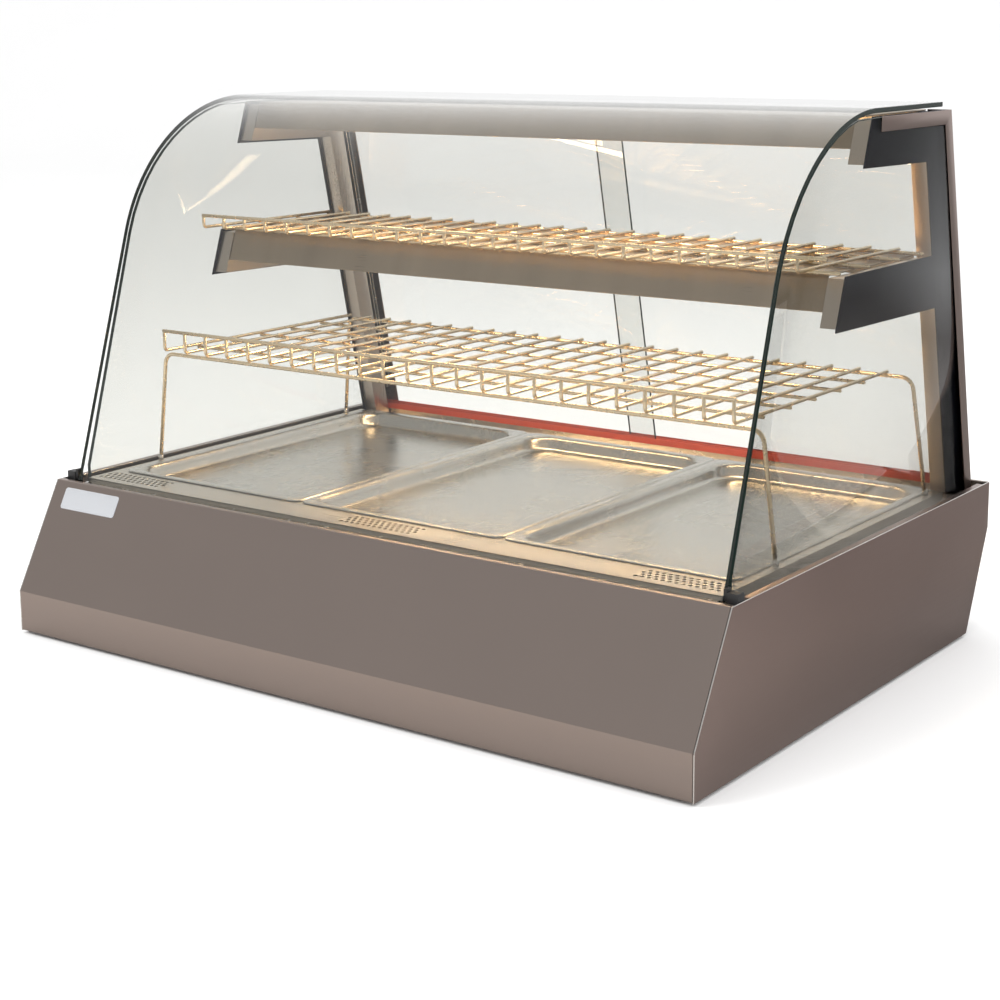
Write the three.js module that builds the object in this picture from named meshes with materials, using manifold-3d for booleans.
// Heated counter-top display case with a tilting curved front glass, two wire shelves, three
// lift-out pans and sliding rear doors.  Millimetres, +X to the right, +Y to the rear, +Z up.
// The origin is on the table, at the centre of the rectangle that the case covers.
import * as THREE from 'three';
import { mergeVertices } from 'three/addons/utils/BufferGeometryUtils.js';
import Module from 'manifold-3d';

const wasm = await Module();
wasm.setup();

// ---------- driving dimensions ----------
const GAP = 0.3;                    // air between pieces that touch
const SHEET = 2;                    // folded sheet thickness
const WELD = 0.4;                   // step between welded faces, so that none share a plane

const BASE_WIDTH = 1066;            // over the side panels
const BASE_DEPTH = 779;             // front foot line to the rear face
const BASE_LIFT = 4;                // panel bottoms above the table
const KICK_HEIGHT = 60;             // top of the upright kick strip
const FRONT_RUN = 77;               // how far the sloping front leans back
const DECK_HEIGHT = 202;            // top of the base
const REAR_BAND_LOW = 139;          // lower edge of the upright rear band
const REAR_BOTTOM_Y = 718;          // where the rear panel meets the floor
const FLANGE = 10;                  // folded edge of a panel
const REAR_LEDGE = 5;               // narrow top fold behind the posts

const PAN_LENGTH = 530;             // GN 1/1 outer rim
const PAN_WIDTH = 325;
const PAN_PITCH = 327;
const PAN_COUNT = 3;
const PAN_DEPTH = 20;
const PAN_RIM = 12;                 // rim that rests on the deck
const PAN_FRONT_Y = 161;            // front rim of the pans
const PAN_PLAY = 3.5;               // body to the opening, each side

const CHANNEL_DEPTH = 14;           // sunk channels round the deck
const CROSSBAR_WIDTH = 20;
const CROSSBAR_HEIGHT = 14;
const SLOT_WIDTH = 20;              // gap that the front glass stands in

const VENT_X = 438;                 // outer vents from the centre
const VENT_LENGTH = 116;
const VENT_ROWS = 4;
const VENT_ROW_PITCH = 10;
const VENT_SLOT = 4;

const GLASS = 6;                    // curved and end glass
const GLASS_HALF = 511;             // outer faces of the end glass
const GLASS_LEAN = THREE.MathUtils.degToRad(72.4);
const GLASS_FOOT_Y = 95;
const GLASS_FOOT_Z = 200;
const GLASS_STRAIGHT = 352;
const GLASS_RADIUS = 258;
const GLASS_FLAT = 184;
const PIVOT_LIFT = 7;               // pivot above the glass foot, along the glass
const PIN_RADIUS = 2.5;
const PIN_PLAY = 0.4;

const POST_SLOPE = 0.215;           // forward lean of the rear posts, run over rise
const POST_FRONT_Y = 700;           // cover plate's front edge at deck height
const POST_DEPTH = 62;
const FRAME_TOP = 705;
const TOP_ARM_FRONT = 447;
const TOP_ARM_LOW = 645;
const MID_ARM_TOP = 522;
const MID_ARM_FRONT = 386;
const MID_ARM_LOW = 457;
const ARM_RAKE = 0.34;              // front edge of each arm, run over rise
const COVER = 2;                    // black cover plate
const COVER_LIP = 4;                // cover beyond the steel
const FRAME_WIDTH = 22;
const DOOR_ZONE = 27;               // rear part of the post left for the doors
const TRIM_WIDTH = 18;
const TRIM_SET_BACK = 9;            // strip behind the arm's front edge

const CANOPY_SET_BACK = 5;          // front panel behind the arm's front edge
const TOP_CANOPY_LIP = 38;
const MID_CANOPY_LIP = 43;

const DOOR_GLASS = 4;
const DOOR_PITCH = 12;
const DOOR_OVERLAP = 53;
const DOOR_HALF = 495;              // outer edge of a closed door
const DOOR_LOW = 194;
const DOOR_HIGH = 695;
const TRACK_WALL = 1.6;
const GRIP_WIDTH = 16;

const WIRE = 5;                     // shelf wire
const WIRE_PITCH = 40;
const UPPER_SHELF_WIRES = 25;
const UPPER_SHELF_FRONT = 345;
const UPPER_SHELF_HALF = 501;
const UPPER_LIP = 17;
const UPPER_LONG_WIRES = 4;
const LOWER_SHELF_WIRES = 24;
const LOWER_SHELF_FRONT = 240;
const LOWER_SHELF_REAR = 640;
const LOWER_SHELF_Z = 360;
const LOWER_SHELF_HALF = 478;
const LOWER_LIP = 28;
const LOWER_LONG_WIRES = 5;
const LEG_FOOT_X = 497;
const LEG_SPLAY_Y = 9;

const FAN_SIZE = 60;
const FAN_HEIGHT = 25;
const DUCT_DEPTH = 50;              // deck to duct floor
const HEATER_Z = 156;
const HEATER_RADIUS = 4;

const CONTROL_Z = 170.5;            // centre of the upright rear band
const KNOB_X = 330;
const KNOB_RADIUS = 19;
const KNOB_LENGTH = 17;
const LAMP_X = 280;
const SWITCH_X = 210;
const ROCKER_WIDTH = 20;
const ROCKER_HEIGHT = 22;
const ROCKER_TILT = THREE.MathUtils.degToRad(8);
const GLAND_X = -420;

const HALF = BASE_WIDTH / 2;
const OVERALL_DEPTH = BASE_DEPTH + GAP + KNOB_LENGTH;

// ---------- solids ----------
const xAxis = new THREE.Vector3(1, 0, 0);
const yAxis = new THREE.Vector3(0, 1, 0);
const zAxis = new THREE.Vector3(0, 0, 1);

// Corners are rounded to a micrometre, so that faces in one plane share it exactly.
function solid(geometry) {
  const bare = geometry.index ? geometry.toNonIndexed() : geometry.clone();
  bare.deleteAttribute('normal');
  bare.deleteAttribute('uv');
  const merged = mergeVertices(bare, 1e-4);
  const vertProperties = merged.attributes.position.array.map((v) => Math.round(v * 1000) / 1000);
  const triVerts = new Uint32Array(merged.index.array);
  return new wasm.Manifold(new wasm.Mesh({ numProp: 3, vertProperties, triVerts }));
}

function geometryOf(manifold) {
  const mesh = manifold.getMesh();
  const geometry = new THREE.BufferGeometry();
  geometry.setAttribute('position', new THREE.BufferAttribute(mesh.vertProperties, 3));
  geometry.setIndex(new THREE.BufferAttribute(mesh.triVerts, 1));
  geometry.computeVertexNormals();
  return geometry;
}

function join(parts) {
  return parts.reduce((sum, part) => sum.add(part));
}

function box(x0, x1, y0, y1, z0, z1) {
  const geometry = new THREE.BoxGeometry(x1 - x0, y1 - y0, z1 - z0);
  geometry.translate((x0 + x1) / 2, (y0 + y1) / 2, (z0 + z1) / 2);
  return solid(geometry);
}

// A [y, z] outline drawn out along X.
function prismX(outline, x0, x1) {
  const shape = new THREE.Shape(outline.map(([y, z]) => new THREE.Vector2(y, z)));
  const geometry = new THREE.ExtrudeGeometry(shape, { depth: x1 - x0, bevelEnabled: false });
  geometry.applyMatrix4(new THREE.Matrix4().makeBasis(yAxis, zAxis, xAxis));
  geometry.translate(x0, 0, 0);
  return solid(geometry);
}

// A shape in X and Y drawn up from z0 to z1.
function prismZ(shape, z0, z1, curveSegments = 4) {
  const options = { depth: z1 - z0, bevelEnabled: false, curveSegments };
  const geometry = new THREE.ExtrudeGeometry(shape, options);
  geometry.translate(0, 0, z0);
  return solid(geometry);
}

function roundedRectangle(cx, cy, width, length, radius) {
  const [x, y] = [cx - width / 2, cy - length / 2];
  const shape = new THREE.Shape();
  shape.moveTo(x + radius, y);
  shape.lineTo(x + width - radius, y);
  shape.absarc(x + width - radius, y + radius, radius, -Math.PI / 2, 0, false);
  shape.lineTo(x + width, y + length - radius);
  shape.absarc(x + width - radius, y + length - radius, radius, 0, Math.PI / 2, false);
  shape.lineTo(x + radius, y + length);
  shape.absarc(x + radius, y + length - radius, radius, Math.PI / 2, Math.PI, false);
  shape.lineTo(x, y + radius);
  shape.absarc(x + radius, y + radius, radius, Math.PI, Math.PI * 1.5, false);
  return shape;
}

// A round bar from a to b; with 4 sides it is a square bar, flat sides up.
function bar(a, b, radius, sides = 12) {
  const [start, end] = [new THREE.Vector3(...a), new THREE.Vector3(...b)];
  const run = end.clone().sub(start);
  const geometry = new THREE.CylinderGeometry(radius, radius, run.length(), sides);
  if (sides === 4) geometry.rotateY(Math.PI / 4);
  geometry.applyQuaternion(new THREE.Quaternion().setFromUnitVectors(yAxis, run.normalize()));
  geometry.translate(...start.add(end).multiplyScalar(0.5).toArray());
  return solid(geometry);
}

function wire(a, b) {
  return bar(a, b, WIRE / Math.SQRT2, 4);
}

// A [radius, height] profile turned about an axis that starts at a point.
function turned(profile, at, axis, segments = 20) {
  const points = profile.map(([r, h]) => new THREE.Vector2(r, h));
  const geometry = new THREE.LatheGeometry(points, segments);
  geometry.applyQuaternion(new THREE.Quaternion().setFromUnitVectors(yAxis, axis));
  geometry.translate(...at);
  return solid(geometry);
}

// Offsets a [y, z] line to its right-hand side, with mitred corners.
function offsetLine(line, distance, closed = false) {
  const count = line.length;
  const direction = (i, j) => {
    const [dy, dz] = [line[j][0] - line[i][0], line[j][1] - line[i][1]];
    const length = Math.hypot(dy, dz);
    return [dy / length, dz / length];
  };
  return line.map(([y, z], i) => {
    const first = !closed && i === 0;
    const last = !closed && i === count - 1;
    const before = direction(first ? 0 : (i + count - 1) % count, first ? 1 : i);
    const after = direction(last ? count - 2 : i, last ? count - 1 : (i + 1) % count);
    const normal = [before[1] + after[1], -before[0] - after[0]];
    const stretch = distance * 2 / (normal[0] ** 2 + normal[1] ** 2);
    return [y + normal[0] * stretch, z + normal[1] * stretch];
  });
}

// Folded sheet: the line is its outer face, and the sheet lies to the line's right.
function folded(line, x0, x1, thickness = SHEET) {
  return prismX([...line, ...offsetLine(line, thickness).reverse()], x0, x1);
}

// ---------- the group and its materials ----------
const part = new THREE.Group();
const model = new THREE.Group();
model.position.y = -OVERALL_DEPTH / 2;
part.add(model);

const finishes = {
  front: { color: 0x8a7f76, metalness: 0.9, roughness: 0.42 },
  steel: { color: 0xb9b4ac, metalness: 1.0, roughness: 0.32 },
  polished: { color: 0xd2cfc8, metalness: 1.0, roughness: 0.14 },
  dark: { color: 0x26262b, metalness: 0.2, roughness: 0.5 },
  glass: { color: 0xdfe8e4, metalness: 0, roughness: 0.03, transparent: true, opacity: 0.25 },
  red: { color: 0xc64630, metalness: 0, roughness: 0.5 },
  wire: { color: 0xcdb48c, metalness: 1.0, roughness: 0.22 },
  plastic: { color: 0x1d1d1f, metalness: 0, roughness: 0.45 },
  lens: { color: 0xd8a028, metalness: 0, roughness: 0.2 },
  ceramic: { color: 0xe8e2d4, metalness: 0, roughness: 0.6 },
  rubber: { color: 0x18181a, metalness: 0, roughness: 0.9 },
};

function add(name, manifold, finish) {
  const mesh = new THREE.Mesh(geometryOf(manifold), new THREE.MeshStandardMaterial(finishes[finish]));
  mesh.name = name;
  model.add(mesh);
}

const sides = [['left', -1], ['right', 1]];

// An X span given for the right-hand side, mirrored for the left.
function span(side, inner, outer) {
  return side > 0 ? [inner, outer] : [-outer, -inner];
}

// ---------- base ----------
const innerHalf = HALF - SHEET - GAP;
const deckRear = PAN_FRONT_Y + PAN_LENGTH + 3;
const deckFront = FRONT_RUN + FLANGE + SLOT_WIDTH;
const channelFloor = DECK_HEIGHT - CHANNEL_DEPTH;
const openingFront = PAN_FRONT_Y + PAN_RIM;
const openingRear = PAN_FRONT_Y + PAN_LENGTH - PAN_RIM;
const openingHalf = (PAN_COUNT * PAN_PITCH) / 2 - PAN_RIM;
const deckHalf = GLASS_HALF - GLASS - 2;

function buildBasePanels() {
  const front = [
    [FLANGE, BASE_LIFT], [0, BASE_LIFT], [0, KICK_HEIGHT], [FRONT_RUN, DECK_HEIGHT],
    [FRONT_RUN + FLANGE, DECK_HEIGHT], [FRONT_RUN + FLANGE, DECK_HEIGHT - FLANGE],
  ];
  add('base_front_panel', folded(front, -innerHalf, innerHalf), 'front');

  const outline = [
    [0, BASE_LIFT], [REAR_BOTTOM_Y, BASE_LIFT], [BASE_DEPTH, REAR_BAND_LOW],
    [BASE_DEPTH, DECK_HEIGHT], [FRONT_RUN, DECK_HEIGHT], [0, KICK_HEIGHT],
  ];
  for (const [name, side] of sides) {
    const plate = prismX(outline, ...span(side, HALF - SHEET, HALF));
    const [t0, t1] = span(side, HALF - FLANGE, HALF - SHEET / 2);
    const topFold = box(t0, t1, deckFront + FLANGE, BASE_DEPTH - 2 * FLANGE,
      DECK_HEIGHT - SHEET, DECK_HEIGHT);
    const bottomFold = box(t0, t1, 2 * FLANGE, REAR_BOTTOM_Y - 2 * FLANGE,
      BASE_LIFT, BASE_LIFT + SHEET);
    add(`base_side_panel_${name}`, join([plate, topFold, bottomFold]), 'front');
  }

  const rear = [
    [BASE_DEPTH - REAR_LEDGE, DECK_HEIGHT], [BASE_DEPTH, DECK_HEIGHT], [BASE_DEPTH, REAR_BAND_LOW],
    [REAR_BOTTOM_Y, BASE_LIFT], [REAR_BOTTOM_Y - FLANGE, BASE_LIFT],
  ];
  const through = [BASE_DEPTH - 2 * SHEET, BASE_DEPTH + SHEET];
  const holes = join([
    bar([KNOB_X, through[0], CONTROL_Z], [KNOB_X, through[1], CONTROL_Z], 5),
    bar([LAMP_X, through[0], CONTROL_Z], [LAMP_X, through[1], CONTROL_Z], 5.5),
    box(SWITCH_X - ROCKER_WIDTH - 5, SWITCH_X + ROCKER_WIDTH + 5, ...through,
      CONTROL_Z - ROCKER_HEIGHT / 2 - 3, CONTROL_Z + ROCKER_HEIGHT / 2 + 3),
    bar(glandPoint(-2 * SHEET), glandPoint(2 * SHEET), 8.5),
  ]);
  add('base_rear_panel', folded(rear, -innerHalf, innerHalf).subtract(holes), 'front');
}

// The gland sits on the sloping lower part of the rear panel.
const rearSlope = new THREE.Vector2(BASE_DEPTH - REAR_BOTTOM_Y, REAR_BAND_LOW - BASE_LIFT).normalize();
const glandAxis = new THREE.Vector3(0, rearSlope.y, -rearSlope.x);
function glandPoint(out) {
  const y = (REAR_BOTTOM_Y + BASE_DEPTH) / 2;
  const z = (BASE_LIFT + REAR_BAND_LOW) / 2;
  return [GLAND_X, y + glandAxis.y * out, z + glandAxis.z * out];
}

const floorLow = BASE_LIFT + SHEET + 2;
const fanX = [-VENT_X, 0, VENT_X];
const fanY = deckFront + (PAN_FRONT_Y - deckFront) / 2 + 4;

function buildFloorAndFeet() {
  const half = innerHalf - GAP;
  const sheet = box(-half, half, SHEET + 1, REAR_BOTTOM_Y - SHEET - 1, floorLow, floorLow + SHEET);
  const intakes = fanX.map((x) => bar([x, fanY, floorLow - 5], [x, fanY, floorLow + 5], 26));
  add('base_floor_pan', sheet.subtract(join(intakes)), 'steel');

  const inset = 60;
  const spots = [
    ['front_left', -HALF + inset, inset], ['front_right', HALF - inset, inset],
    ['rear_left', -HALF + inset, REAR_BOTTOM_Y - inset],
    ['rear_right', HALF - inset, REAR_BOTTOM_Y - inset],
  ];
  const profile = [[0, 0], [17, 0], [19, 2], [16, floorLow - GAP], [0, floorLow - GAP]];
  for (const [name, x, y] of spots) {
    add(`foot_${name}`, turned(profile, [x, y, 0], zAxis.clone(), 16), 'rubber');
  }
}

function buildDeck() {
  const line = [
    [deckFront, channelFloor], [deckFront, DECK_HEIGHT], [deckRear, DECK_HEIGHT],
    [deckRear, channelFloor], [BASE_DEPTH - SHEET - 1, channelFloor],
  ];
  const sheet = folded(line, -deckHalf, deckHalf);
  const walls = sides.flatMap(([, side]) => {
    const wall = box(...span(side, deckHalf - SHEET, deckHalf - WELD), deckFront + WELD,
      deckRear - WELD, channelFloor - SHEET + WELD, DECK_HEIGHT - WELD);
    const gutter = box(...span(side, deckHalf - SHEET + WELD, innerHalf - GAP), deckFront + 2 * WELD,
      BASE_DEPTH - SHEET - 1 - WELD, channelFloor - SHEET - WELD, channelFloor - WELD);
    return [wall, gutter];
  });
  const opening = box(-openingHalf, openingHalf, openingFront, openingRear,
    DECK_HEIGHT - 3 * SHEET, DECK_HEIGHT + SHEET);
  const slots = fanX.flatMap((x) => Array.from({ length: VENT_ROWS }, (_, row) => {
    const y = fanY + (row - (VENT_ROWS - 1) / 2) * VENT_ROW_PITCH;
    return box(x - VENT_LENGTH / 2, x + VENT_LENGTH / 2, y - VENT_SLOT / 2, y + VENT_SLOT / 2,
      DECK_HEIGHT - 2 * SHEET, DECK_HEIGHT + SHEET);
  }));
  add('deck_frame', join([sheet, ...walls]).subtract(opening).subtract(join(slots)), 'steel');

  for (let i = 1; i < PAN_COUNT; i += 1) {
    const x = (i - PAN_COUNT / 2) * PAN_PITCH;
    const half = CROSSBAR_WIDTH / 2;
    const low = DECK_HEIGHT - CROSSBAR_HEIGHT;
    const outer = box(x - half, x + half, openingFront + GAP, openingRear - GAP, low, DECK_HEIGHT);
    const inner = box(x - half + SHEET, x + half - SHEET, openingFront - 1, openingRear + 1,
      low - 1, DECK_HEIGHT - SHEET);
    add(`pan_crossbar_${i}`, outer.subtract(inner), 'steel');
  }
}

function buildPans() {
  const y = PAN_FRONT_Y + PAN_LENGTH / 2;
  const rimLow = DECK_HEIGHT + GAP;
  const bodyWidth = PAN_PITCH - CROSSBAR_WIDTH - 2 * PAN_PLAY;
  const bodyLength = openingRear - openingFront - 2 * PAN_PLAY;
  for (let i = 0; i < PAN_COUNT; i += 1) {
    const x = (i - (PAN_COUNT - 1) / 2) * PAN_PITCH;
    const rim = prismZ(roundedRectangle(x, y, PAN_WIDTH, PAN_LENGTH, 14), rimLow, rimLow + SHEET);
    const body = prismZ(roundedRectangle(x, y, bodyWidth, bodyLength, 34), rimLow - PAN_DEPTH, rimLow + 1);
    const hollow = prismZ(roundedRectangle(x, y, bodyWidth - 2 * SHEET, bodyLength - 2 * SHEET, 32),
      rimLow - PAN_DEPTH + SHEET, rimLow + 2 * SHEET);
    add(`gn_pan_${i + 1}`, join([rim, body]).subtract(hollow), 'polished');
  }
}

// ---------- air and heat ----------
const ductFloor = DECK_HEIGHT - DUCT_DEPTH;

function buildFans() {
  const front = deckFront + SHEET + 1;
  const rear = openingFront - 1;
  const top = DECK_HEIGHT - SHEET - GAP;
  const line = [[front, top], [front, ductFloor], [rear, ductFloor], [rear, top]];
  const channel = folded(line.reverse(), -deckHalf + 5, deckHalf - 5, 1.5);
  const bores = fanX.map((x) => bar([x, fanY, ductFloor - 4], [x, fanY, ductFloor + 4], FAN_SIZE / 2 - 4, 24));
  add('air_duct', channel.subtract(join(bores)), 'steel');

  const high = ductFloor - 1.5 - GAP;
  const low = high - FAN_HEIGHT;
  const half = FAN_SIZE / 2;
  fanX.forEach((x, i) => {
    const shell = box(x - half, x + half, fanY - half, fanY + half, low, high)
      .subtract(bar([x, fanY, low - 1], [x, fanY, high + 1], half - 2, 24));
    const spider = join([
      box(x - half + 1, x + half - 1, fanY - 2, fanY + 2, low, low + 3),
      box(x - 2, x + 2, fanY - half + 1, fanY + half - 1, low, low + 3),
      bar([x, fanY, low], [x, fanY, low + 4], 11, 16),
    ]);
    add(`fan_frame_${i + 1}`, shell.add(spider), 'plastic');

    const hub = bar([x, fanY, low + 4 + GAP], [x, fanY, high - 2], 11, 16);
    const blades = Array.from({ length: 5 }, (_, k) => {
      const blade = new THREE.BoxGeometry(half - 14, 1.6, 15);
      blade.rotateX(0.6);
      blade.translate(half / 2 + 3, 0, low + 14);
      blade.rotateZ((k * Math.PI * 2) / 5);
      blade.translate(x, fanY, 0);
      return solid(blade);
    });
    add(`fan_impeller_${i + 1}`, join([hub, ...blades]), 'plastic');
  });
}

function buildHeaters() {
  const [front, rear] = [openingFront + 60, openingRear - 60];
  const reach = PAN_WIDTH / 2 - 45;
  const floorTop = floorLow + SHEET + GAP;
  for (let i = 0; i < PAN_COUNT; i += 1) {
    const x = (i - (PAN_COUNT - 1) / 2) * PAN_PITCH;
    const path = new THREE.CurvePath();
    const point = (dx, y) => new THREE.Vector3(x + dx, y, HEATER_Z);
    const bend = (x0, x1, y, out) => new THREE.CubicBezierCurve3(
      point(x0, y), point(x0, y + out), point(x1, y + out), point(x1, y));
    path.add(new THREE.LineCurve3(point(-reach, rear), point(-reach, front)));
    path.add(bend(-reach, -reach / 3, front, -50));
    path.add(new THREE.LineCurve3(point(-reach / 3, front), point(-reach / 3, rear)));
    path.add(bend(-reach / 3, reach / 3, rear, 50));
    path.add(new THREE.LineCurve3(point(reach / 3, rear), point(reach / 3, front)));
    path.add(bend(reach / 3, reach, front, -50));
    path.add(new THREE.LineCurve3(point(reach, front), point(reach, rear)));
    const corners = Array.from({ length: 6 }, (_, k) => new THREE.Vector2(HEATER_RADIUS, 0)
      .rotateAround(new THREE.Vector2(), (k * Math.PI) / 3));
    const section = new THREE.Shape(corners);
    const tube = solid(new THREE.ExtrudeGeometry(section, { steps: 32, extrudePath: path }));
    const stands = [front + 40, rear - 40].flatMap((y) => [
      box(x - reach - 8, x + reach + 8, y - 8, y + 8, HEATER_Z - HEATER_RADIUS - 1, HEATER_Z - 1),
      box(x - reach - 8, x - reach - 5, y - 8, y + 8, floorTop, HEATER_Z - 2),
      box(x + reach + 5, x + reach + 8, y - 8, y + 8, floorTop, HEATER_Z - 2),
    ]);
    add(`heater_element_${i + 1}`, join([tube, ...stands]), 'steel');
  }
}

// ---------- controls on the rear band ----------
function buildControls() {
  const face = BASE_DEPTH;
  const inside = BASE_DEPTH - SHEET - GAP;
  const shaft = bar([KNOB_X, inside - 4, CONTROL_Z], [KNOB_X, face + 12, CONTROL_Z], 3);
  const body = box(KNOB_X - 22, KNOB_X + 22, inside - 32, inside, CONTROL_Z - 13, CONTROL_Z + 13);
  add('thermostat_body', join([body, shaft]), 'ceramic');

  const grip = KNOB_RADIUS;
  const knobProfile = [
    [3.6, 0], [grip, 0], [grip, 4], [grip - 3, 5], [grip - 5, KNOB_LENGTH - 1],
    [grip - 6, KNOB_LENGTH], [0, KNOB_LENGTH], [0, 13], [3.6, 13], [3.6, 0],
  ];
  const knob = turned(knobProfile, [KNOB_X, face + GAP, CONTROL_Z], yAxis, 24);
  const pointer = box(KNOB_X - 1.5, KNOB_X + 1.5, face + 4, face + GAP + KNOB_LENGTH,
    CONTROL_Z + 6, CONTROL_Z + grip - 3);
  add('thermostat_knob', join([knob, pointer]), 'plastic');

  const lampProfile = [
    [0, -16], [5, -16], [5, GAP], [7, GAP], [7, 2], [5, 3.5], [3, 4.5], [0, 5],
  ];
  add('pilot_lamp', turned(lampProfile, [LAMP_X, face, CONTROL_Z], yAxis, 16), 'lens');

  const bay = ROCKER_WIDTH / 2 + 0.8;
  const halfWidth = ROCKER_WIDTH + 4;
  const halfHeight = ROCKER_HEIGHT / 2 + 2.5;
  const housing = join([
    box(SWITCH_X - halfWidth, SWITCH_X + halfWidth, inside - 20, face + 1,
      CONTROL_Z - halfHeight, CONTROL_Z + halfHeight),
    box(SWITCH_X - halfWidth - 4, SWITCH_X + halfWidth + 4, face + GAP, face + 2,
      CONTROL_Z - halfHeight - 4, CONTROL_Z + halfHeight + 4),
  ]);
  const rockerX = { power: SWITCH_X - ROCKER_WIDTH / 2 - 1.5, light: SWITCH_X + ROCKER_WIDTH / 2 + 1.5 };
  const bays = Object.values(rockerX).map((x) => box(x - bay, x + bay, inside - 14, face + 4,
    CONTROL_Z - ROCKER_HEIGHT / 2 - 0.8, CONTROL_Z + ROCKER_HEIGHT / 2 + 0.8));
  add('switch_housing', housing.subtract(join(bays)), 'plastic');

  const h = ROCKER_HEIGHT / 2;
  const outline = [[-9, -5], [-2, -h + 0.5], [3, -h + 0.5], [1.5, 0], [3, h - 0.5], [-2, h - 0.5], [-9, 5]];
  for (const [name, x] of Object.entries(rockerX)) {
    const turnedOutline = outline.map(([y, z]) => {
      const [c, s] = [Math.cos(ROCKER_TILT), Math.sin(ROCKER_TILT)];
      return [face + y * c + z * s, CONTROL_Z - y * s + z * c];
    });
    add(`${name}_rocker`, prismX(turnedOutline, x - ROCKER_WIDTH / 2, x + ROCKER_WIDTH / 2),
      name === 'power' ? 'red' : 'plastic');
  }

  const glandProfile = [
    [4.5, -14], [8, -14], [8, GAP], [13, GAP], [13, 7], [10, 9], [9, 18], [6, 21], [4.5, 21], [4.5, -14],
  ];
  add('cable_gland', turned(glandProfile, glandPoint(0), glandAxis, 16), 'plastic');

  const floorTop = floorLow + SHEET + GAP;
  const blockY = REAR_BOTTOM_Y - 75;
  const block = box(GLAND_X - 50, GLAND_X + 50, blockY - 20, blockY + 20, floorTop, floorTop + 12);
  const poles = Array.from({ length: 5 }, (_, k) => {
    const x = GLAND_X - 38 + k * 19;
    return box(x - 8, x + 8, blockY - 16, blockY + 16, floorTop + 10, floorTop + 26);
  });
  add('terminal_block', join([block, ...poles]), 'ceramic');
}

// ---------- side frames ----------
const coverOuter = GLASS_HALF - GLASS - GAP;
const coverInner = coverOuter - COVER;
const frameOuter = coverInner - GAP;
const frameInner = frameOuter - FRAME_WIDTH;

function postY(offset, z) {
  return POST_FRONT_Y + offset - POST_SLOPE * (z - DECK_HEIGHT);
}

function armFront(frontAtTop, top, z) {
  return frontAtTop - ARM_RAKE * (top - z);
}

// The E-shaped outline of a side frame, whose post runs back as far as depth.
function frameOutline(depth, low) {
  return [
    [TOP_ARM_FRONT, FRAME_TOP],
    [armFront(TOP_ARM_FRONT, FRAME_TOP, TOP_ARM_LOW), TOP_ARM_LOW],
    [postY(0, TOP_ARM_LOW - 3), TOP_ARM_LOW - 3],
    [postY(0, MID_ARM_TOP), MID_ARM_TOP],
    [MID_ARM_FRONT, MID_ARM_TOP],
    [armFront(MID_ARM_FRONT, MID_ARM_TOP, MID_ARM_LOW), MID_ARM_LOW],
    [postY(0, MID_ARM_LOW - 4), MID_ARM_LOW - 4],
    [postY(0, low), low],
    [postY(depth, low), low],
    [postY(depth, FRAME_TOP), FRAME_TOP],
  ];
}

function buildSideFrames() {
  const low = channelFloor + GAP;
  const steelDepth = POST_DEPTH - DOOR_ZONE;
  for (const [name, side] of sides) {
    const outer = offsetLine(frameOutline(steelDepth + COVER_LIP, low), -COVER_LIP, true);
    const pocket = offsetLine(outer, -SHEET, true);
    const channel = prismX(outer, ...span(side, frameInner, frameOuter))
      .subtract(prismX(pocket, ...span(side, frameInner + SHEET, frameOuter + 1)));
    const shoe = prismX([
      [postY(COVER_LIP, low), low], [postY(steelDepth, low), low],
      [postY(steelDepth, low + 8), low + 8], [postY(COVER_LIP, low + 8), low + 8],
    ], ...span(side, frameInner, frameOuter));
    add(`side_frame_${name}`, join([channel, shoe]), 'steel');

    const plate = frameOutline(POST_DEPTH, low);
    add(`frame_cover_${name}`, prismX(plate, ...span(side, coverInner, coverOuter)), 'dark');

    const strip = [
      [TOP_ARM_FRONT + TRIM_SET_BACK, FRAME_TOP],
      [TOP_ARM_FRONT + TRIM_SET_BACK, FRAME_TOP - TRIM_WIDTH],
      [postY(POST_DEPTH - TRIM_WIDTH, FRAME_TOP - TRIM_WIDTH), FRAME_TOP - TRIM_WIDTH],
      [postY(POST_DEPTH - TRIM_WIDTH, low), low], [postY(POST_DEPTH + 2, low), low],
      [postY(POST_DEPTH + 2, FRAME_TOP), FRAME_TOP],
    ];
    const back = [
      [postY(POST_DEPTH + GAP, low), low], [postY(POST_DEPTH + 2, low), low],
      [postY(POST_DEPTH + 2, FRAME_TOP), FRAME_TOP], [postY(POST_DEPTH + GAP, FRAME_TOP), FRAME_TOP],
    ];
    const outside = GLASS_HALF + GAP;
    const trim = join([
      prismX(strip, ...span(side, outside, outside + 1.5)),
      prismX(back, ...span(side, frameInner, outside + 1)),
    ]);
    add(`glass_trim_${name}`, trim, 'front');
  }
}

// ---------- canopies and lamps ----------
const canopyHalf = frameInner - GAP;

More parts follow.
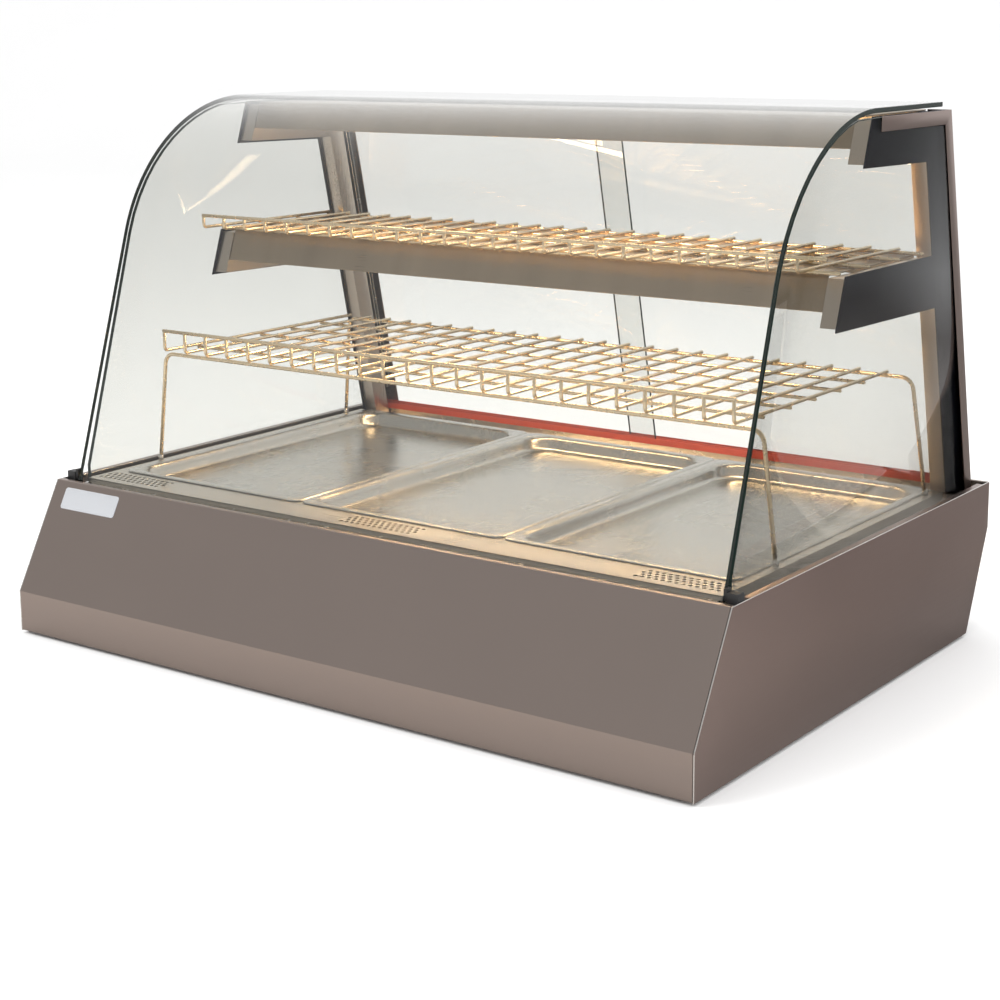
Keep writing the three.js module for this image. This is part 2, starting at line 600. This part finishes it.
function buildCanopies() {
  const topFront = TOP_ARM_FRONT + CANOPY_SET_BACK;
  const topRear = postY(POST_DEPTH - 2, FRAME_TOP);
  const top = [
    [armFront(topFront, FRAME_TOP, FRAME_TOP - TOP_CANOPY_LIP), FRAME_TOP - TOP_CANOPY_LIP],
    [topFront, FRAME_TOP], [topRear, FRAME_TOP],
  ];
  const stiffenerY = postY(POST_DEPTH - DOOR_ZONE - 6, FRAME_TOP - 24);
  const stiffener = box(-canopyHalf, canopyHalf, stiffenerY, stiffenerY + SHEET, FRAME_TOP - 24, FRAME_TOP - 1);
  add('top_canopy', join([folded(top, -canopyHalf, canopyHalf), stiffener]), 'steel');

  const midFront = MID_ARM_FRONT + CANOPY_SET_BACK;
  const midRear = postY(-2, MID_ARM_TOP);
  const mid = [
    [armFront(midFront, MID_ARM_TOP, MID_ARM_TOP - MID_CANOPY_LIP), MID_ARM_TOP - MID_CANOPY_LIP],
    [midFront, MID_ARM_TOP], [midRear, MID_ARM_TOP], [postY(-2, MID_ARM_TOP - 30), MID_ARM_TOP - 30],
  ];
  add('mid_canopy', folded(mid, -canopyHalf, canopyHalf), 'steel');

  const levels = [['top', FRAME_TOP, topFront + 70], ['mid', MID_ARM_TOP, midFront + 90]];
  for (const [level, roof, y] of levels) {
    for (const [name, side] of sides) {
      const x = side * canopyHalf / 2;
      const z = roof - SHEET - GAP - 16;
      const tube = bar([x - 150, y, z], [x + 150, y, z], 5.5, 12);
      const caps = [-150, 150].map((dx) => box(x + dx - 9, x + dx + 9, y - 9, y + 9,
        z - 9, roof - SHEET - GAP));
      add(`lamp_${level}_${name}`, join([tube, ...caps]), 'ceramic');
    }
  }
}

// ---------- glass ----------
// The curved glass section, inset from its outer face, from the foot to the rear edge.
function glassPath(inset, segments = 12) {
  const inward = (angle) => [Math.sin(angle), -Math.cos(angle)];
  const along = [Math.cos(GLASS_LEAN), Math.sin(GLASS_LEAN)];
  const normal = inward(GLASS_LEAN);
  const bendStart = [GLASS_FOOT_Y + along[0] * GLASS_STRAIGHT, GLASS_FOOT_Z + along[1] * GLASS_STRAIGHT];
  const centre = [bendStart[0] + normal[0] * GLASS_RADIUS, bendStart[1] + normal[1] * GLASS_RADIUS];
  const path = [[GLASS_FOOT_Y + normal[0] * inset, GLASS_FOOT_Z + normal[1] * inset]];
  for (let k = 0; k <= segments; k += 1) {
    const [ny, nz] = inward(GLASS_LEAN * (1 - k / segments));
    path.push([centre[0] - ny * (GLASS_RADIUS - inset), centre[1] - nz * (GLASS_RADIUS - inset)]);
  }
  const [endY, endZ] = path[path.length - 1];
  path.push([endY + GLASS_FLAT, endZ]);
  return path;
}

const pivot = [
  GLASS_FOOT_Y + Math.cos(GLASS_LEAN) * PIVOT_LIFT + Math.sin(GLASS_LEAN) * (GLASS / 2),
  GLASS_FOOT_Z + Math.sin(GLASS_LEAN) * PIVOT_LIFT - Math.cos(GLASS_LEAN) * (GLASS / 2),
];

function buildGlass() {
  const section = [...glassPath(0), ...glassPath(GLASS).reverse()];
  add('front_glass', prismX(section, -GLASS_HALF, GLASS_HALF), 'glass');

  // The end glass stands in the side channel, just behind the curved glass.
  const low = channelFloor + 1;
  const edge = glassPath(GLASS + 1.2).filter(([, z]) => z < FRAME_TOP - 1);
  const footY = edge[0][0] + (low - edge[0][1]) / Math.tan(GLASS_LEAN);
  const kept = edge.slice(1);
  const clear = deckFront + 6;
  const roof = FRAME_TOP - 1;
  const outline = [
    [Math.max(footY, clear), low], [Math.max(footY, clear), DECK_HEIGHT + 16], ...kept,
    [TOP_ARM_FRONT + 4, roof], [postY(POST_DEPTH - 1, roof), roof], [postY(POST_DEPTH - 1, low), low],
  ];
  for (const [name, side] of sides) {
    add(`end_glass_${name}`, prismX(outline, ...span(side, GLASS_HALF - GLASS, GLASS_HALF)), 'glass');

    // A clamp holds the lower corner of the curved glass and turns on a pin in the pivot block.
    const [py, pz] = pivot;
    const clampInner = GLASS_HALF + GAP;
    const clamp = box(...span(side, clampInner, clampInner + 4), py - 5, py + 5, pz - 5, pz + 9);
    const [p0, p1] = span(side, clampInner + 3, clampInner + 14);
    const pin = bar([p0, py, pz], [p1, py, pz], PIN_RADIUS, 12);
    add(`glass_clamp_${name}`, join([clamp, pin]), 'steel');

    const blockSpan = span(side, clampInner + 4 + GAP, innerHalf - GAP);
    const block = box(...blockSpan, py - 6, py + 8, pz - 14, pz + 5);
    const hole = bar([side * clampInner, py, pz], [side * (clampInner + 15), py, pz],
      PIN_RADIUS + PIN_PLAY, 16);
    add(`pivot_block_${name}`, block.subtract(hole), 'steel');
  }
}

// ---------- rear doors ----------
const doorSpans = {
  left: [-DOOR_HALF, DOOR_OVERLAP / 2],
  right: [-DOOR_OVERLAP / 2, DOOR_HALF],
};

// A leaning slab behind the posts: offsets are measured forward from the post's rear edge.
function leaning(nearRear, thickness, low, high, x0, x1) {
  const rear = POST_DEPTH - nearRear;
  const front = rear - thickness;
  return prismX([
    [postY(front, low), low], [postY(rear, low), low],
    [postY(rear, high), high], [postY(front, high), high],
  ], x0, x1);
}

function buildDoors() {
  const depthOf = { right: 4, left: 4 + DOOR_PITCH };
  for (const [name] of sides) {
    const [x0, x1] = doorSpans[name];
    const near = depthOf[name];
    add(`door_${name}`, leaning(near, DOOR_GLASS, DOOR_LOW, DOOR_HIGH, x0, x1), 'glass');

    const [g0, g1] = name === 'left' ? [x0 - 1.5, x0 + GRIP_WIDTH] : [x1 - GRIP_WIDTH, x1 + 1.5];
    const [low, high] = [DOOR_LOW + 40, DOOR_HIGH - 40];
    const slotEnds = name === 'left' ? [x0 - GAP, x0 + 50] : [x1 - 50, x1 + GAP];
    const grip = leaning(near - 2, DOOR_GLASS + 4, low, high, g0, g1)
      .subtract(leaning(near - GAP, DOOR_GLASS + 2 * GAP, low - 1, high + 1, ...slotEnds));
    add(`door_grip_${name}`, grip, 'steel');
  }

  const trackHalf = coverInner - GAP;
  const trackRear = 1;
  const trackDepth = 2 * DOOR_PITCH;
  const ribs = [0, 1, 2].map((k) => trackRear + k * (DOOR_PITCH - TRACK_WALL / 2));
  const lowTop = DECK_HEIGHT + 6;
  const lowFloor = leaning(trackRear, trackDepth, channelFloor + GAP, channelFloor + 3, -trackHalf, trackHalf);
  const lowRibs = ribs.map((near) => leaning(near, TRACK_WALL, channelFloor + 2, lowTop, -trackHalf, trackHalf));
  add('lower_track', join([lowFloor, ...lowRibs]), 'red');

  const roof = FRAME_TOP - SHEET - GAP;
  const topFloor = leaning(trackRear, trackDepth, roof - 3, roof, -trackHalf, trackHalf);
  const topRibs = ribs.map((near) => leaning(near, TRACK_WALL, roof - 20, roof - 2, -trackHalf, trackHalf));
  add('upper_track', join([topFloor, ...topRibs]), 'dark');
}

// ---------- wire shelves ----------
// Cross wires lie on the long ones and turn up at the front into a lip.
function shelfGrid(wires, firstX, frontY, rearY, z, lip, longY, railHalf) {
  const sink = WIRE - 1;
  const parts = [];
  for (let i = 0; i < wires; i += 1) {
    const x = firstX + i * WIRE_PITCH;
    parts.push(wire([x, frontY - WIRE / 2, z], [x, rearY, z]));
    parts.push(wire([x, frontY, z - WIRE / 2], [x, frontY, z + lip]));
  }
  for (const y of longY) parts.push(wire([-railHalf, y, z - sink], [railHalf, y, z - sink]));
  return parts;
}

function buildShelves() {
  const upperZ = MID_ARM_TOP + GAP + WIRE / 2 + WIRE - 1;
  const upperFirst = -(UPPER_SHELF_WIRES - 1) * WIRE_PITCH / 2 - 18;
  const upperRear = postY(-4, upperZ);
  const supportY = Array.from({ length: UPPER_LONG_WIRES }, (_, k) => (
    MID_ARM_FRONT + 12 + ((upperRear - MID_ARM_FRONT - 20) * k) / (UPPER_LONG_WIRES - 1)));
  const upper = shelfGrid(UPPER_SHELF_WIRES, upperFirst, UPPER_SHELF_FRONT, upperRear, upperZ,
    UPPER_LIP, supportY, UPPER_SHELF_HALF);
  upper.push(wire([-UPPER_SHELF_HALF, UPPER_SHELF_FRONT, upperZ + UPPER_LIP],
    [UPPER_SHELF_HALF, UPPER_SHELF_FRONT, upperZ + UPPER_LIP]));
  add('upper_shelf', join(upper), 'wire');

  const railZ = LOWER_SHELF_Z;
  const gridZ = railZ + WIRE - 1;
  const long = Array.from({ length: LOWER_LONG_WIRES }, (_, k) => (
    LOWER_SHELF_FRONT + ((LOWER_SHELF_REAR - LOWER_SHELF_FRONT) * (k + 1)) / (LOWER_LONG_WIRES + 1)));
  const lowerFirst = -LOWER_SHELF_HALF - 2;
  const lastX = lowerFirst + (LOWER_SHELF_WIRES - 1) * WIRE_PITCH;
  const lower = shelfGrid(LOWER_SHELF_WIRES, lowerFirst, LOWER_SHELF_FRONT, LOWER_SHELF_REAR + 7,
    gridZ, LOWER_LIP, [], LOWER_SHELF_HALF);
  for (const y of long) lower.push(wire([lowerFirst, y, railZ], [lastX + 6, y, railZ]));
  lower.push(wire([lowerFirst - WIRE / 2, LOWER_SHELF_FRONT, gridZ + LOWER_LIP],
    [lastX + WIRE / 2, LOWER_SHELF_FRONT, gridZ + LOWER_LIP]));
  const footZ = DECK_HEIGHT + GAP;
  const ends = [[LOWER_SHELF_FRONT, 0], [LOWER_SHELF_REAR, LEG_SPLAY_Y]];
  for (const [y, splay] of ends) {
    lower.push(wire([-LOWER_SHELF_HALF - WIRE / 2, y, railZ], [LOWER_SHELF_HALF + WIRE / 2, y, railZ]));
    for (const [, side] of sides) {
      const foot = [side * LEG_FOOT_X, y + splay, footZ + WIRE / 2];
      lower.push(wire([side * LOWER_SHELF_HALF, y, railZ], foot));
      lower.push(box(foot[0] - 4, foot[0] + 4, foot[1] - 6, foot[1] + 6, footZ, footZ + WIRE));
    }
  }
  add('lower_shelf', join(lower), 'wire');
}

buildBasePanels();
buildFloorAndFeet();
buildDeck();
buildPans();
buildFans();
buildHeaters();
buildControls();
buildSideFrames();
buildCanopies();
buildGlass();
buildDoors();
buildShelves();

export default part;
